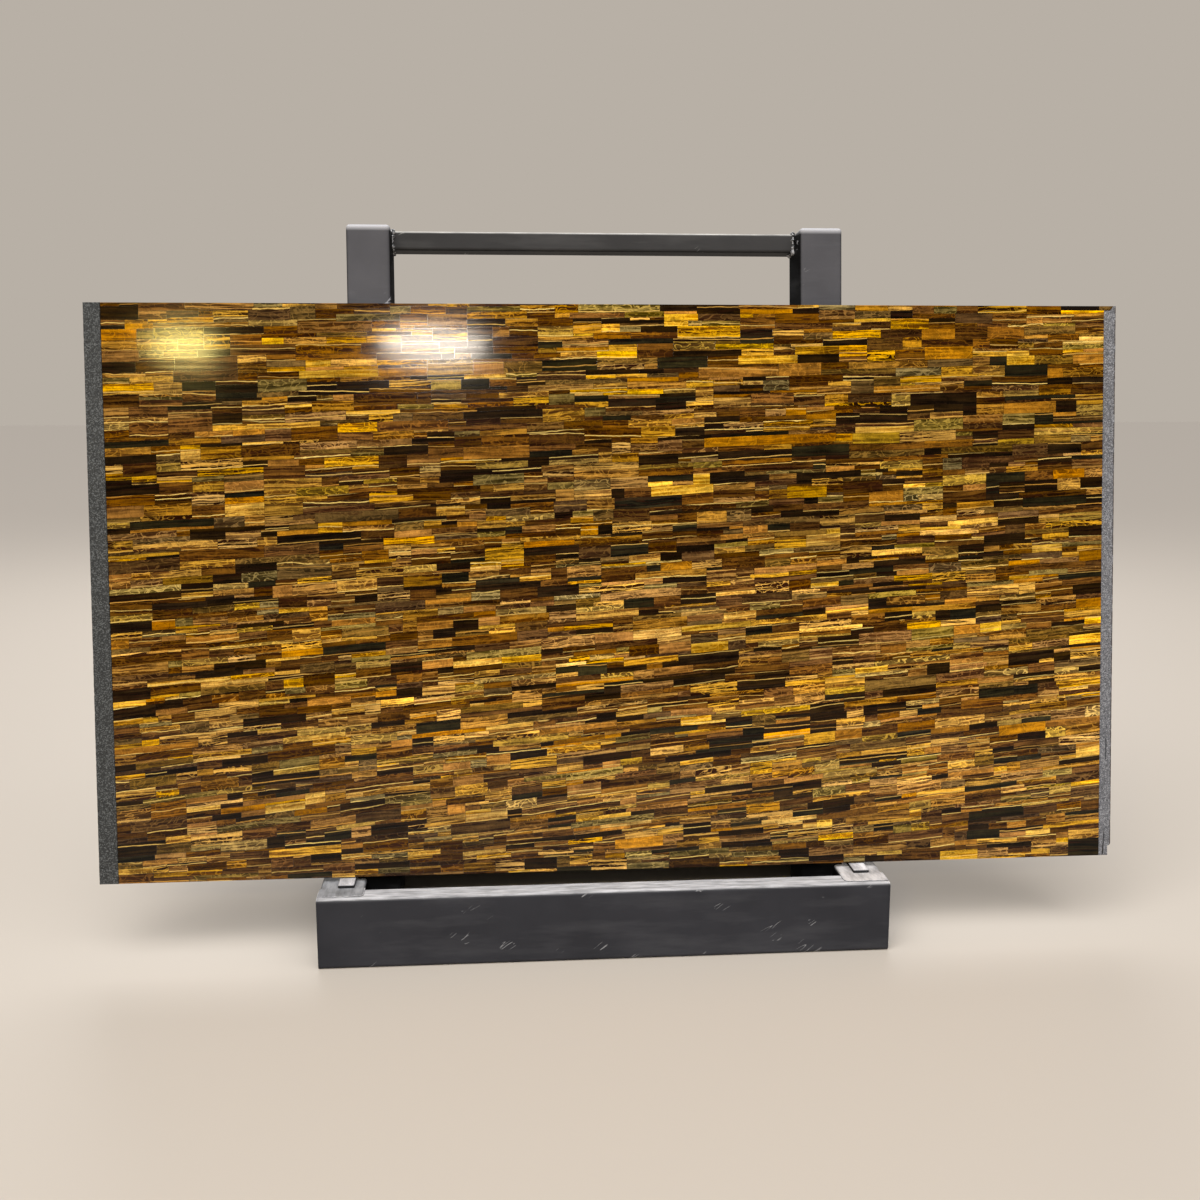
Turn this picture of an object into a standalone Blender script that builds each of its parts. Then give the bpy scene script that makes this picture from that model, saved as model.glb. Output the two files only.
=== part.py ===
"""Tiger's-eye mosaic slab with granite end strips, leaning on a steel display rack.

Units are metres, +Z is up, +X is to the right and -Y is the side that the slab faces.
The origin is on the floor, under the middle of the whole object.
"""

import math

import bmesh
import bpy
from mathutils import Matrix, Vector

# The slab
SLAB_WIDTH = 2.400
SLAB_HEIGHT = 1.324
SLAB_THICKNESS = 0.020
SLAB_LEAN = math.radians(7.0)
EDGE_CHAMFER = 0.0008

# The granite strips at the slab's ends
LEFT_STRIP_TOP_WIDTH = 0.038
LEFT_STRIP_FOOT_WIDTH = 0.043
LEFT_JOINT_HEIGHT = 0.0355
RIGHT_STRIP_WIDTH = 0.0295
TAB_HEIGHT = 0.0105
TAB_TOP_END = 0.0065
TAB_FOOT_END = 0.0145

# The rack's base
RACK_X = -0.037
BASE_WIDTH = 1.320
BASE_DEPTH = 0.640
BASE_HEIGHT = 0.167
BEAM_DEPTH = 0.060
RAIL_WIDTH = 0.104
CAP_THICKNESS = 0.004
REST_BAR_WIDTH = 0.037
REST_BAR_THICKNESS = 0.008
REST_BAR_SETBACK = 0.064
LEFT_REST_BAR_INSET = 0.009
REST_BAR_CHAMFER = 0.0012
SLAB_SETBACK = 0.105

# The rack's posts, top bar and braces
POST_WIDTH = 0.100
POST_DEPTH = 0.125
POST_SPREAD = 1.156
POST_TOP_Z = 1.672
POST_FOOT_Z = 0.020
POST_TOP_ROUND = 0.008
TOP_BAR_HEIGHT = 0.044
TOP_BAR_DEPTH = 0.056
BRACE_SIZE = 0.050
BRACE_TOP_RISE = 0.86

# Tube stock
WALL = 0.005
TUBE_ROUND = 0.009
BRACE_ROUND = 0.007
ARC_STEPS = 5
SMOOTH_ANGLE = math.radians(32)

# Welded and bedded faces keep this clearance
GAP = 0.0003

FRONT_Y = -BASE_DEPTH / 2
SIN_LEAN = math.sin(SLAB_LEAN)
COS_LEAN = math.cos(SLAB_LEAN)
REST_TOP_Z = BASE_HEIGHT + GAP + REST_BAR_THICKNESS
SLAB_FOOT = Vector((0, FRONT_Y + SLAB_SETBACK, REST_TOP_Z + GAP + SLAB_THICKNESS * SIN_LEAN))
POST_FRONT = SLAB_THICKNESS + GAP
POST_OUTER_X = POST_SPREAD / 2
POST_INNER_X = POST_OUTER_X - POST_WIDTH


def clear_scene():
    for old in list(bpy.data.objects):
        bpy.data.objects.remove(old, do_unlink=True)


def make_material(name, colour, roughness, metallic):
    material = bpy.data.materials.new(name)
    material.use_nodes = True
    shader = material.node_tree.nodes["Principled BSDF"]
    shader.inputs["Base Color"].default_value = (*colour, 1)
    shader.inputs["Roughness"].default_value = roughness
    shader.inputs["Metallic"].default_value = metallic
    return material


def add_object(name, bm, material, parent=None):
    """Turns a bmesh into a named object with smooth rounds and crisp corners."""
    bmesh.ops.recalc_face_normals(bm, faces=bm.faces)
    mesh = bpy.data.meshes.new(name)
    bm.to_mesh(mesh)
    bm.free()
    mesh.materials.append(material)
    mesh.shade_smooth()
    mesh.set_sharp_from_angle(angle=SMOOTH_ANGLE)
    piece = bpy.data.objects.new(name, mesh)
    bpy.context.collection.objects.link(piece)
    piece.parent = parent
    return piece


def rounded_rectangle(width, depth, radius):
    """Points round a rectangle centred on the origin, with an arc at each corner."""
    points = []
    for quarter, (sx, sy) in enumerate(((1, 1), (-1, 1), (-1, -1), (1, -1))):
        centre = Vector((sx * (width / 2 - radius), sy * (depth / 2 - radius)))
        for step in range(ARC_STEPS + 1):
            angle = (quarter + step / ARC_STEPS) * math.pi / 2
            points.append(centre + radius * Vector((math.cos(angle), math.sin(angle))))
    return points


def loft(rings, closed=False):
    """Skins rings of points in order. A closed loft joins the last ring to the first."""
    bm = bmesh.new()
    loops = [[bm.verts.new(point) for point in ring] for ring in rings]
    pairs = list(zip(loops, loops[1:]))
    if closed:
        pairs.append((loops[-1], loops[0]))
    else:
        bm.faces.new(loops[0])
        bm.faces.new(loops[-1])
    count = len(loops[0])
    for near, far in pairs:
        for i in range(count):
            j = (i + 1) % count
            bm.faces.new((near[i], near[j], far[j], far[i]))
    return bm


def tube(width, depth, radius, start, end):
    """An open tube along Z. start and end give the height of each cut at (x, y)."""
    outer = rounded_rectangle(width, depth, radius)
    inner = rounded_rectangle(width - 2 * WALL, depth - 2 * WALL, radius - WALL)
    path = ((outer, start), (outer, end), (inner, end), (inner, start))
    rings = [[(p.x, p.y, height(p.x, p.y)) for p in section] for section, height in path]
    return loft(rings, closed=True)


def level(value):
    """A square cut at one height."""
    return lambda x, y: value


def prism(outline, thickness):
    """Extrudes an (x, z) outline along +Y."""
    rings = [[(x, y, z) for x, z in outline] for y in (0, thickness)]
    return loft(rings)


def add_chamfer(piece, width):
    chamfer = piece.modifiers.new("edge_chamfer", "BEVEL")
    chamfer.width = width
    chamfer.segments = 1
    chamfer.limit_method = "ANGLE"
    chamfer.angle_limit = math.radians(40)


def box_outline(x0, x1, z0, z1):
    return ((x0, z0), (x1, z0), (x1, z1), (x0, z1))


def add_lean_frame():
    """The frame that the slab, posts and top bar share: X across, Y into the slab, Z up its face."""
    frame = bpy.data.objects.new("lean_frame", None)
    frame.location = SLAB_FOOT
    frame.rotation_euler = (-SLAB_LEAN, 0, 0)
    bpy.context.collection.objects.link(frame)
    return frame


def left_strip_width(height):
    """The left strip widens towards the floor."""
    share = height / SLAB_HEIGHT
    return LEFT_STRIP_FOOT_WIDTH + share * (LEFT_STRIP_TOP_WIDTH - LEFT_STRIP_FOOT_WIDTH)


def add_slab_piece(name, outline, material, frame):
    piece = add_object(name, prism(outline, SLAB_THICKNESS), material, frame)
    add_chamfer(piece, EDGE_CHAMFER)
    return piece


def add_tigers_eye_panel(frame):
    """The mosaic panel. Its top course runs on as a tab over the right granite strip."""
    left, right = -SLAB_WIDTH / 2, SLAB_WIDTH / 2
    seam = right - RIGHT_STRIP_WIDTH
    outline = (
        (left + left_strip_width(0) + GAP, 0),
        (seam, 0),
        (seam, SLAB_HEIGHT - TAB_HEIGHT),
        (right - TAB_FOOT_END, SLAB_HEIGHT - TAB_HEIGHT),
        (right - TAB_TOP_END, SLAB_HEIGHT),
        (left + left_strip_width(SLAB_HEIGHT) + GAP, SLAB_HEIGHT),
    )
    stone = make_material("polished_tigers_eye", (0.42, 0.23, 0.05), 0.12, 0)
    add_slab_piece("tigers_eye_panel", outline, stone, frame)


def add_granite_strips(frame):
    """Sawn granite at both ends. The left one has a short separate piece at its foot."""
    left, right = -SLAB_WIDTH / 2, SLAB_WIDTH / 2
    joint = LEFT_JOINT_HEIGHT
    granite = make_material("sawn_grey_granite", (0.10, 0.10, 0.11), 0.7, 0)
    long_piece = (
        (left, joint + GAP),
        (left + left_strip_width(joint + GAP), joint + GAP),
        (left + left_strip_width(SLAB_HEIGHT), SLAB_HEIGHT),
        (left, SLAB_HEIGHT),
    )
    add_slab_piece("granite_strip_left", long_piece, granite, frame)
    short_piece = (
        (left, 0),
        (left + left_strip_width(0), 0),
        (left + left_strip_width(joint), joint),
        (left, joint),
    )
    pale = make_material("sawn_grey_granite_offcut", (0.12, 0.12, 0.13), 0.7, 0)
    add_slab_piece("granite_strip_left_foot", short_piece, pale, frame)
    seam = right - RIGHT_STRIP_WIDTH + GAP
    under_tab = SLAB_HEIGHT - TAB_HEIGHT - GAP
    right_piece = (
        (seam, 0),
        (right, 0),
        (right, SLAB_HEIGHT),
        (right - TAB_TOP_END + GAP, SLAB_HEIGHT),
        (right - TAB_FOOT_END + GAP, under_tab),
        (seam, under_tab),
    )
    light = make_material("sawn_light_granite", (0.19, 0.19, 0.19), 0.7, 0)
    add_slab_piece("granite_strip_right", right_piece, light, frame)


def add_beam(name, centre_y, steel):
    """A rectangular tube across the rack, lying on the floor."""
    half = BASE_WIDTH / 2 - CAP_THICKNESS - GAP
    bm = tube(BASE_HEIGHT, BEAM_DEPTH, TUBE_ROUND, level(-half), level(half))
    beam = add_object(name, bm, steel)
    beam.rotation_euler = (0, math.radians(90), 0)
    beam.location = (RACK_X, centre_y, BASE_HEIGHT / 2)


def add_beam_cap(name, side, centre_y, steel):
    """The plate that closes a beam's end."""
    outline = rounded_rectangle(BASE_HEIGHT, BEAM_DEPTH, TUBE_ROUND)
    rings = [[(p.x, p.y, z) for p in outline] for z in (0, CAP_THICKNESS)]
    cap = add_object(name, loft(rings), steel)
    cap.rotation_euler = (0, math.radians(90), 0)
    inner_x = BASE_WIDTH / 2 - CAP_THICKNESS if side > 0 else -BASE_WIDTH / 2
    cap.location = (RACK_X + inner_x, centre_y, BASE_HEIGHT / 2)


def cut_mesh(piece, cutter):
    """Takes the cutter's shape out of a piece and removes the cutter."""
    cut = piece.modifiers.new("cut", "BOOLEAN")
    cut.operation = "DIFFERENCE"
    cut.solver = "EXACT"
    cut.object = cutter
    graph = bpy.context.evaluated_depsgraph_get()
    mesh = bpy.data.meshes.new_from_object(piece.evaluated_get(graph))
    piece.modifiers.remove(cut)
    bpy.data.objects.remove(cutter, do_unlink=True)
    mesh.name = piece.name
    mesh.set_sharp_from_angle(angle=SMOOTH_ANGLE)
    piece.data = mesh


def cut_post_notch(rail, side, steel, frame):
    """Cuts a post's place out of a rail's inner side, with clearance all round."""
    edges = sorted((side * POST_INNER_X, side * (POST_OUTER_X + GAP)))
    outline = box_outline(*edges, -2 * BASE_HEIGHT, 2 * BASE_HEIGHT)
    cutter = add_object("post_notch", prism(outline, POST_DEPTH + 2 * GAP), steel, frame)
    cutter.location = (RACK_X, POST_FRONT - GAP, 0)
    cut_mesh(rail, cutter)


def add_rail(name, side, steel, frame):
    """A rectangular tube from the front beam to the rear beam, notched for its post."""
    half = BASE_DEPTH / 2 - BEAM_DEPTH - GAP
    bm = tube(RAIL_WIDTH, BASE_HEIGHT, TUBE_ROUND, level(-half), level(half))
    rail = add_object(name, bm, steel)
    rail.rotation_euler = (math.radians(90), 0, 0)
    rail.location = (RACK_X + side * (BASE_WIDTH - RAIL_WIDTH) / 2, 0, BASE_HEIGHT / 2)
    cut_post_notch(rail, side, steel, frame)


def add_rest_bar(name, side, steel):
    """The flat bar on a rail that the slab's lower edge stands on."""
    half = REST_BAR_WIDTH / 2
    outline = box_outline(-half, half, 0, REST_BAR_THICKNESS)
    bar = add_object(name, prism(outline, BASE_DEPTH - 2 * REST_BAR_SETBACK), steel)
    inset = LEFT_REST_BAR_INSET if side < 0 else 0
    middle_x = RACK_X + side * ((BASE_WIDTH - RAIL_WIDTH) / 2 - inset)
    bar.location = (middle_x, FRONT_Y + REST_BAR_SETBACK, BASE_HEIGHT + GAP)
    add_chamfer(bar, REST_BAR_CHAMFER)


def post_top():
    """Height of the posts' square-cut tops in the lean frame."""
    return (POST_TOP_Z - SLAB_FOOT.z + POST_FRONT * SIN_LEAN) / COS_LEAN


def floor_cut(y, z):
    """The height in the lean frame where the line at depth y meets the world height z."""
    return (z - SLAB_FOOT.z + y * SIN_LEAN) / COS_LEAN


def post_bmesh():
    """A post that is open at its foot and closed by a top with rounded edges."""
    middle = POST_FRONT + POST_DEPTH / 2
    top = post_top()

    def ring(inset, height):
        radius = TUBE_ROUND - inset
        section = rounded_rectangle(POST_WIDTH - 2 * inset, POST_DEPTH - 2 * inset, radius)
        return [(p.x, p.y + middle, height(p.y + middle)) for p in section]

    rings = [
        ring(WALL, lambda y: top - WALL),
        ring(WALL, lambda y: floor_cut(y, POST_FOOT_Z)),
        ring(0, lambda y: floor_cut(y, POST_FOOT_Z)),
    ]
    for step in range(ARC_STEPS + 1):
        angle = step / ARC_STEPS * math.pi / 2
        inset = POST_TOP_ROUND * (1 - math.cos(angle))
        height = top - POST_TOP_ROUND * (1 - math.sin(angle))
        rings.append(ring(inset, lambda y, height=height: height))
    return loft(rings)


def add_post(name, side, steel, frame):
    """An upright let into a rail, parallel to the slab's back and touching it."""
    post = add_object(name, post_bmesh(), steel, frame)
    post.location = (RACK_X + side * (POST_OUTER_X - POST_WIDTH / 2), 0, 0)


def add_top_bar(steel, frame):
    """The tube between the posts' heads, flush with the posts' tops and backs."""
    half = POST_INNER_X - GAP
    bm = tube(TOP_BAR_HEIGHT, TOP_BAR_DEPTH, BRACE_ROUND, level(-half), level(half))
    bar = add_object("top_bar", bm, steel, frame)
    bar.rotation_euler = (0, math.radians(90), 0)
    middle_y = POST_FRONT + POST_DEPTH - TOP_BAR_DEPTH / 2
    bar.location = (RACK_X, middle_y, post_top() - TOP_BAR_HEIGHT / 2)


def add_brace(name, side, steel):
    """A strut from the rear beam's top up to a post's back, cut to fit both."""
    foot = Vector((0, BASE_DEPTH / 2 - BEAM_DEPTH / 2, BASE_HEIGHT + GAP))
    back = POST_FRONT + POST_DEPTH + GAP
    to_world = Matrix.Translation(SLAB_FOOT) @ Matrix.Rotation(-SLAB_LEAN, 4, "X")
    head = to_world @ Vector((0, back, BRACE_TOP_RISE))
    along = (head - foot).normalized()
    lean = math.atan2(-along.y, along.z)
    turn = Matrix.Rotation(lean, 3, "X")
    post_normal = Vector((0, COS_LEAN, -SIN_LEAN))

    def cut(point, normal):
        """The run along the strut from its foot to a plane, for the line at (x, y)."""

        def height(x, y):
            start = foot + turn @ Vector((x, y, 0))
            return (point - start).dot(normal) / along.dot(normal)

        return height

    floor_end, post_end = cut(foot, Vector((0, 0, 1))), cut(head, post_normal)
    bm = tube(BRACE_SIZE, BRACE_SIZE, BRACE_ROUND, floor_end, post_end)
    brace = add_object(name, bm, steel)
    brace.rotation_euler = (lean, 0, 0)
    brace.location = foot + Vector((RACK_X + side * (POST_OUTER_X - POST_WIDTH / 2), 0, 0))


def add_rack(frame):
    """The welded steel rack: a low base, two leaning posts, a top bar and two braces."""
    dark = make_material("painted_base_steel", (0.040, 0.040, 0.043), 0.45, 0)
    worn = make_material("worn_rest_bar_steel", (0.42, 0.42, 0.43), 0.45, 0.6)
    grey = make_material("painted_post_steel", (0.105, 0.105, 0.112), 0.45, 0)
    bar = make_material("painted_bar_steel", (0.065, 0.062, 0.063), 0.45, 0)
    beam_y = (BASE_DEPTH - BEAM_DEPTH) / 2
    for beam, y in (("base_front_beam", -beam_y), ("base_rear_beam", beam_y)):
        add_beam(beam, y, dark)
        add_beam_cap(beam + "_cap_left", -1, y, dark)
        add_beam_cap(beam + "_cap_right", 1, y, dark)
    for word, side in (("left", -1), ("right", 1)):
        add_rail("base_rail_" + word, side, dark, frame)
        add_rest_bar("rest_bar_" + word, side, worn)
        add_post("post_" + word, side, grey, frame)
        add_brace("brace_" + word, side, bar)
    add_top_bar(bar, frame)


clear_scene()
lean_frame = add_lean_frame()
add_tigers_eye_panel(lean_frame)
add_granite_strips(lean_frame)
add_rack(lean_frame)
bpy.context.view_layer.update()
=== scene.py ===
import functools
import math
import random

import bmesh
import bpy
import numpy as np
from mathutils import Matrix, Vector, noise


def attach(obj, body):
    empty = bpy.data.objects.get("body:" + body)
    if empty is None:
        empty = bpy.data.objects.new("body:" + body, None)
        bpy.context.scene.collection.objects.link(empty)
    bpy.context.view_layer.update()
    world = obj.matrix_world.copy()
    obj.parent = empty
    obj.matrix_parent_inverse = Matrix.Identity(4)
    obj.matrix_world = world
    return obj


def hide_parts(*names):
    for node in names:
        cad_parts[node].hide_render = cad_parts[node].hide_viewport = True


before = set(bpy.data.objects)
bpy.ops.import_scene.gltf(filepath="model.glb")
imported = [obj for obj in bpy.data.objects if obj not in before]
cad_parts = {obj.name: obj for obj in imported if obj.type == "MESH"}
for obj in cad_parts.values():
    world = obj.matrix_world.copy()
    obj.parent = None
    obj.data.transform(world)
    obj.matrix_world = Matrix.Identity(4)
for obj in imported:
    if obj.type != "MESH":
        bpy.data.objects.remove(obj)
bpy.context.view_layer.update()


# -----
# The mosaic. Thin bricks of golden tiger's eye, sawn from veins of silky quartz, laid in gently rising courses
# and cast in dark resin. The face is ground flat and polished, so the bricks finish level with one another.

SLAB_LEAN = math.radians(7.0)
SLAB_FOOT_Y = -0.215
SLAB_FOOT_Z = 0.178037
SLAB_WIDTH = 2.400
SLAB_HEIGHT = 1.324
SLAB_THICKNESS = 0.020
LEFT_STRIP_TOP_WIDTH = 0.038
LEFT_STRIP_FOOT_WIDTH = 0.043
RIGHT_STRIP_WIDTH = 0.0295
TAB_HEIGHT = 0.0105
TAB_TOP_END = 0.0065
TAB_FOOT_END = 0.0145
GAP = 0.0003

BRICK_DEPTH = 0.012
HALF_JOINT = 0.00028
SHORTEST_BRICK = 0.030
LONGEST_BRICK = 0.190
COLUMN_PITCH = 0.014
OVERRUN = 0.004  # the courses are laid this far past the foot and the top, then cut
THINNEST_SLIVER = 0.0006
TAB_TUCK = 0.012
TINY = 1e-9
COURSE_GROUPS = 5
GROUP_LENGTHS = 3
MOSAIC_SEED = 23

MOSAIC_LEFT = -SLAB_WIDTH / 2 + LEFT_STRIP_FOOT_WIDTH + GAP
MOSAIC_RIGHT = SLAB_WIDTH / 2 - RIGHT_STRIP_WIDTH


def on_slab(points):
    """Slab coordinates (across, depth into the stone, up the face) to the row frame."""
    across, depth, up = np.asarray(points, float).reshape(-1, 3).T
    y = SLAB_FOOT_Y + depth * math.cos(SLAB_LEAN) + up * math.sin(SLAB_LEAN)
    z = SLAB_FOOT_Z - depth * math.sin(SLAB_LEAN) + up * math.cos(SLAB_LEAN)
    return np.stack((across, y, z), 1)


def add_piece(name, points, faces, material, replaced=()):
    """A mesh piece in the row frame, fixed to the rigid body."""
    mesh = bpy.data.meshes.new(name)
    mesh.from_pydata([tuple(p) for p in points], [], [tuple(f) for f in faces])
    mesh.materials.append(material)
    piece = bpy.data.objects.new(name, mesh)
    bpy.context.collection.objects.link(piece)
    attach(piece, "root")
    if replaced:
        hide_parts(*replaced)
    return piece


# The courses rise to the right, steeply low down and hardly at all near the top edge, and lie level again at the
# foot. A course is known by its height at the left end, and this table gives how far along it is at each height.
COURSE_STEEPEN = 0.080
COURSE_LEVEL_UP = 1.47
FOOT_FLAT = (-0.06, 0.17)
LEAST_RISE = 0.004

course_up = np.linspace(-0.25, 1.75, 4001)
foot_share = np.clip((course_up - FOOT_FLAT[0]) / (FOOT_FLAT[1] - FOOT_FLAT[0]), 0, 1)
course_rise = COURSE_STEEPEN * (COURSE_LEVEL_UP - course_up) * foot_share**2 * (3 - 2 * foot_share)
course_rise = np.maximum(course_rise, LEAST_RISE)
mid_rise = (course_rise[1:] + course_rise[:-1]) / 2
course_run = np.concatenate(([0], np.cumsum(np.diff(course_up) / mid_rise)))


def up_of(across, course):
    """Height up the face of a course at a place across."""
    run = np.interp(course, course_up, course_run) + across - MOSAIC_LEFT
    return np.interp(run, course_run, course_up)


def course_at(across, up):
    """The course that passes through a place on the face."""
    run = np.interp(up, course_up, course_run) - (across - MOSAIC_LEFT)
    return np.interp(run, course_run, course_up)


# The waver of hand-laid courses: how far, over what length and height, and a seed.
COURSE_WAVERS = ((0.0030, 0.42, 0.22, 3), (0.0022, 0.15, 0.040, 7), (0.0007, 0.036, 0.020, 11))


def edge_up(across, course):
    """Height of a brick's long edge: its course, with the waver."""
    up = float(up_of(across, course))
    for size, length, height, seed in COURSE_WAVERS:
        up += size * noise.noise(Vector((across / length, up / height, seed)))
    return up


# Thin, middling and tall bricks: the share up to each kind, its least and greatest height, and how much longer it is.
BRICK_KINDS = ((0.14, 0.0048, 0.0080, 1.15), (0.68, 0.0092, 0.0160, 1.0), (1.0, 0.0160, 0.0285, 0.95))
USUAL_LENGTH = 0.082
LENGTH_SPREAD = 0.42


def brick_size(rng, across, up):
    """Length and height of the next brick. They run bigger towards the upper left."""
    size = 0.88 + 0.34 * (up / SLAB_HEIGHT) * (1 - 0.55 * (across - MOSAIC_LEFT) / SLAB_WIDTH)
    draw = rng.random()
    least, most, longer = next(kind[1:] for kind in BRICK_KINDS if draw < kind[0])
    height = rng.uniform(least, most)
    length = rng.lognormvariate(math.log(USUAL_LENGTH), LENGTH_SPREAD) * longer
    return min(max(length * size, SHORTEST_BRICK), LONGEST_BRICK), height * size


# A new brick is cut to end level with the one beside it where the two nearly agree, and now and then where not.
NEARLY_LEVEL = 0.0032
LEVEL_STEPS = (0.005, 0.028)
LEVEL_CHANCE = 0.45
NARROW_PLACE = 0.045


def lay_bricks(rng):
    """Lays bricks in the lowest free place until the panel is full. Each is (left, right, lower course, upper)."""
    free = [[MOSAIC_LEFT, MOSAIC_RIGHT, float(course_at(MOSAIC_RIGHT, -OVERRUN))]]
    laid = []
    top = SLAB_HEIGHT + OVERRUN
    while True:
        i = min(range(len(free)), key=lambda k: (free[k][2], free[k][0]))
        left, right, course = free[i]
        if course > top:
            return laid
        width = right - left
        middle = (left + right) / 2
        up = float(up_of(middle, course))
        length, height = brick_size(rng, middle, up)
        if width - length < SHORTEST_BRICK:
            length = width if width < LONGEST_BRICK else width - SHORTEST_BRICK * 1.3
        from_left = rng.random() < 0.5
        whole = length >= width - TINY
        beside = [
            free[k][2]
            for k, touches in ((i - 1, from_left or whole), (i + 1, not from_left or whole))
            if touches and 0 <= k < len(free)
        ]
        new = float(course_at(middle, up + height))
        for level in sorted(beside):
            step = float(up_of(middle, level)) - up
            near = abs(step - height) < NEARLY_LEVEL
            if near or (
                LEVEL_STEPS[0] < step < LEVEL_STEPS[1] and (rng.random() < LEVEL_CHANCE or width < NARROW_PLACE)
            ):
                new = level
                break
        x0, x1 = (left, left + length) if from_left else (right - length, right)
        laid.append((x0, x1, course, new))
        parts = [[left, x0, course], [x0, x1, new], [x1, right, course]]
        parts = [part for part in parts if part[1] - part[0] > TINY]
        merged = []
        for part in free[:i] + parts + free[i + 1 :]:
            if merged and abs(merged[-1][2] - part[2]) < TINY:
                merged[-1][1] = part[1]
            else:
                merged.append(list(part))
        free = merged


def brick_columns(x0, x1, lower, upper):
    """The brick's outline as columns (across, low, high), cut to the panel and inset by half a joint."""
    count = max(2, round((x1 - x0) / COLUMN_PITCH) + 1)
    columns = []
    for step in range(count):
        across = x0 + HALF_JOINT + (x1 - x0 - 2 * HALF_JOINT) * step / (count - 1)
        low = max(edge_up(across, lower) + HALF_JOINT, HALF_JOINT)
        high = min(edge_up(across, upper) - HALF_JOINT, SLAB_HEIGHT - HALF_JOINT)
        columns.append((across, low, high))
    return [column for column in columns if column[2] - column[1] > THINNEST_SLIVER]


rng = random.Random(MOSAIC_SEED)
tab_left = MOSAIC_RIGHT - TAB_TUCK
bricks = []
for x0, x1, lower, upper in lay_bricks(rng):
    columns = brick_columns(x0, x1, lower, upper)
    if len(columns) < 2:
        continue
    if x0 < MOSAIC_LEFT + TINY:  # the granite strip beside it narrows upwards
        narrowing = LEFT_STRIP_FOOT_WIDTH - LEFT_STRIP_TOP_WIDTH
        columns[0] = (columns[0][0] - narrowing * columns[0][1] / SLAB_HEIGHT, *columns[0][1:])
    if columns[-1][0] > tab_left + HALF_JOINT and columns[-1][2] > SLAB_HEIGHT - TAB_HEIGHT:
        under = SLAB_HEIGHT - TAB_HEIGHT - HALF_JOINT
        columns = [(across, low, min(high, under)) for across, low, high in columns]
        columns = [column for column in columns if column[2] - column[1] > THINNEST_SLIVER]
        if len(columns) < 2:
            continue
    bricks.append((columns, (lower + upper) / 2))

# The top course runs on as a thin tab over the right granite strip, and its end is cut on the slant.
tab_low, tab_high = SLAB_HEIGHT - TAB_HEIGHT + HALF_JOINT, SLAB_HEIGHT - HALF_JOINT
tab = [
    (tab_left + HALF_JOINT, tab_low, tab_high),
    (SLAB_WIDTH / 2 - TAB_FOOT_END - HALF_JOINT, tab_low, tab_high),
    (SLAB_WIDTH / 2 - TAB_TOP_END - HALF_JOINT, SLAB_HEIGHT - 2 * HALF_JOINT, tab_high),
]
bricks.append((tab, float(course_at(MOSAIC_RIGHT, SLAB_HEIGHT))))


def colour(code):
    """An sRGB hex code as linear RGBA."""
    parts = [int(code[i : i + 2], 16) / 255 for i in (1, 3, 5)]
    return [*(c / 12.92 if c <= 0.04045 else ((c + 0.055) / 1.055) ** 2.4 for c in parts), 1.0]


# Grades of the stone from dark to light: share of the bricks, dark and light layers, how layered, and how crackled.
STONE_GRADES = (
    ("black seam", 0.120, "#120a04", "#2b1c08", 0.3, 0.2),
    ("hawk's eye", 0.040, "#110f09", "#2d2714", 0.3, 0.2),
    ("dark brown", 0.145, "#2b1403", "#5f3c0b", 0.8, 0.5),
    ("plum brown", 0.050, "#2e1a0b", "#624520", 0.6, 0.7),
    ("umber", 0.115, "#3c2006", "#7b4f14", 0.8, 0.6),
    ("smoky brown", 0.070, "#3c2b0e", "#795a26", 0.6, 0.9),
    ("olive", 0.050, "#40330d", "#8e763a", 0.6, 0.9),
    ("rust", 0.025, "#4b2a08", "#8e642c", 0.6, 0.6),
    ("amber", 0.130, "#4e2e08", "#ab7a2d", 0.9, 0.6),
    ("crackled tan", 0.050, "#5b421a", "#af8b3a", 0.6, 1.0),
    ("honey", 0.075, "#8a5918", "#b97e29", 0.4, 0.5),
    ("striped", 0.070, "#261003", "#d9a342", 1.0, 0.4),
    ("gold", 0.095, "#6d4511", "#d69f34", 0.8, 0.5),
    ("bright gold", 0.040, "#b07a20", "#f4c04e", 0.5, 0.4),
)
GRADE_REACH = np.cumsum([grade[1] for grade in STONE_GRADES])
SEAM_CHANCE = 0.36
SEAM_PLACES = (0.05, 0.10, 0.35, 0.62, 0.90, 0.95)
DARK_BAND_UP = 0.62
DARK_BAND_WIDTH = 0.15
USUAL_SHADE = 0.765


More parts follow.
